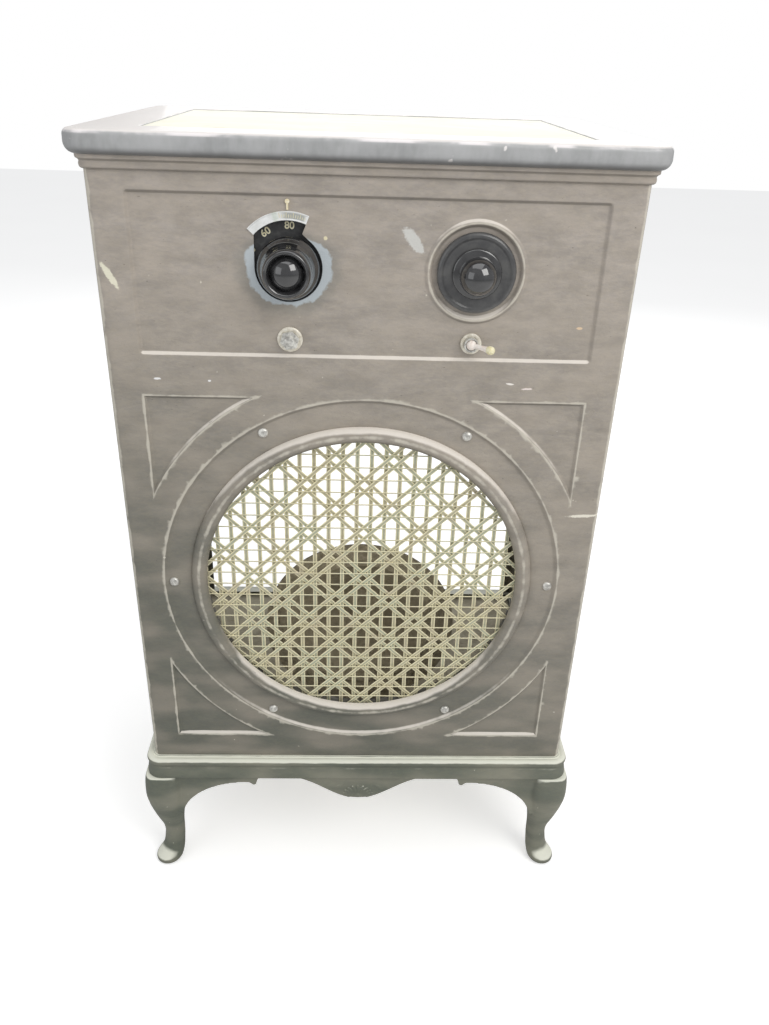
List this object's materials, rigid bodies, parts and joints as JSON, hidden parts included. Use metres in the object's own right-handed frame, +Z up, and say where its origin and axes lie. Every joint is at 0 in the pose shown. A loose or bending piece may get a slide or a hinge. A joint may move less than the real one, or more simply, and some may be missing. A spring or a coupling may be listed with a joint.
{
  "type": "console radio",
  "caption": "Metal console radio on short cabriole legs: pressed-steel cabinet with a flat lid, a round lattice speaker grille, tuning and volume knobs and a toggle switch.",
  "frame": {"origin": "centre of the footprint at floor level, under the feet", "axes": "+Z up, -Y out of the front with the grille and knobs, +X to the right of a person facing the front"},
  "size_m": [0.4476, 0.3542, 0.744],
  "materials": {
    "cabinet_paint": "wrinkled",
    "cover_paint": "satin",
    "steel_hardware": "worn",
    "grommet_rubber": "matt",
    "lid_paint": "satin",
    "lid_panel_enamel": "satin",
    "base_paint": "satin",
    "fibre_board": "matt",
    "leg_paint": "satin",
    "lattice_lacquer": "satin",
    "chassis_paint": "satin",
    "chassis_plate": "satin",
    "plate_metal": "satin",
    "belt_bronze": "satin",
    "control_black": "gloss",
    "scale_metal": "satin",
    "cream_mark": "matt",
    "control_casing": "satin",
    "lever_ivory": "satin",
    "socket_board": "matt",
    "valve_base_bakelite": "gloss",
    "valve_glass": "clear",
    "transformer_iron": "satin",
    "cone_paper": "matt"
  },
  "bodies": {
    "cabinet": {"front_panel": "cabinet_paint", "side_panel_left": "cabinet_paint", "side_panel_right": "cabinet_paint", "neck_moulding": "cabinet_paint", "rear_cover": "cover_paint", "rear_cover_screws": "steel_hardware", "cable_grommet": "grommet_rubber", "base_moulding": "base_paint", "front_apron": "base_paint", "floor_board": "fibre_board", "leg_front_left": "leg_paint", "leg_front_right": "leg_paint", "leg_rear_left": "leg_paint", "leg_rear_right": "leg_paint", "leg_bolts": "steel_hardware", "grille_wires": "lattice_lacquer", "grille_strands_rising": "lattice_lacquer", "grille_strands_falling": "lattice_lacquer", "grille_bars": "lattice_lacquer", "grille_clamp_ring": "chassis_paint", "grille_bolts": "steel_hardware", "grille_nuts": "steel_hardware", "shelf_rail_left": "chassis_paint", "shelf_rail_right": "chassis_paint", "set_shelf": "chassis_paint", "chassis_pan": "chassis_plate", "condenser_frames": "chassis_plate", "condenser_stators": "plate_metal", "drive_belts": "belt_bronze", "dial_scale_arc": "scale_metal", "dial_index": "cream_mark", "volume_control": "control_casing", "volume_nut": "steel_hardware", "toggle_switch": "control_casing", "toggle_nut": "steel_hardware", "chassis_stud": "steel_hardware", "chassis_stud_nut": "steel_hardware", "valve_sockets": "socket_board", "valve_bases": "valve_base_bakelite", "valve_glasses": "valve_glass", "power_transformer": "transformer_iron", "transformer_bells": "control_casing", "filter_cans": "chassis_plate", "speaker_frame": "chassis_paint", "speaker_cone": "cone_paper", "speaker_magnet": "transformer_iron", "speaker_foot": "chassis_paint"},
    "lid": {"lid": "lid_paint", "lid_top_panel": "lid_panel_enamel"},
    "tuning": {"rotor_center": "plate_metal", "tuning_dial": "control_black", "tuning_knob": "control_black"},
    "gang_left": {"rotor_left": "plate_metal"},
    "gang_right": {"rotor_right": "plate_metal"},
    "volume": {"volume_disc": "control_black", "volume_knob": "control_black"},
    "toggle": {"toggle_lever": "lever_ivory"}
  },
  "joints": [
    {"name": "lid_lift", "type": "slide", "parent": "cabinet", "child": "lid", "axis": [0, 0, 1], "range_m": [0, 0.04]},
    {"name": "tuning_turn", "type": "hinge", "parent": "cabinet", "child": "tuning", "pos_m": [-0.062, -0.1, 0.649], "axis": [0, -1, 0], "range_deg": [-142.2, 37.8]},
    {"name": "gang_left_turn", "type": "hinge", "parent": "cabinet", "child": "gang_left", "pos_m": [-0.132, -0.1, 0.649], "axis": [0, -1, 0], "range_deg": [-142.2, 37.8]},
    {"name": "gang_right_turn", "type": "hinge", "parent": "cabinet", "child": "gang_right", "pos_m": [0.008, -0.1, 0.649], "axis": [0, -1, 0], "range_deg": [-142.2, 37.8]},
    {"name": "volume_turn", "type": "hinge", "parent": "cabinet", "child": "volume", "pos_m": [0.0833, -0.14, 0.649], "axis": [0, -1, 0], "range_deg": [-150, 150]},
    {"name": "toggle_throw", "type": "hinge", "parent": "cabinet", "child": "toggle", "pos_m": [0.0833, -0.15415, 0.593], "axis": [0, 0, 1], "range_deg": [-90, 0]}
  ],
  "couplings": [
    {"joint": "gang_left_turn", "follows": "tuning_turn", "ratio": 1},
    {"joint": "gang_right_turn", "follows": "tuning_turn", "ratio": 1}
  ]
}
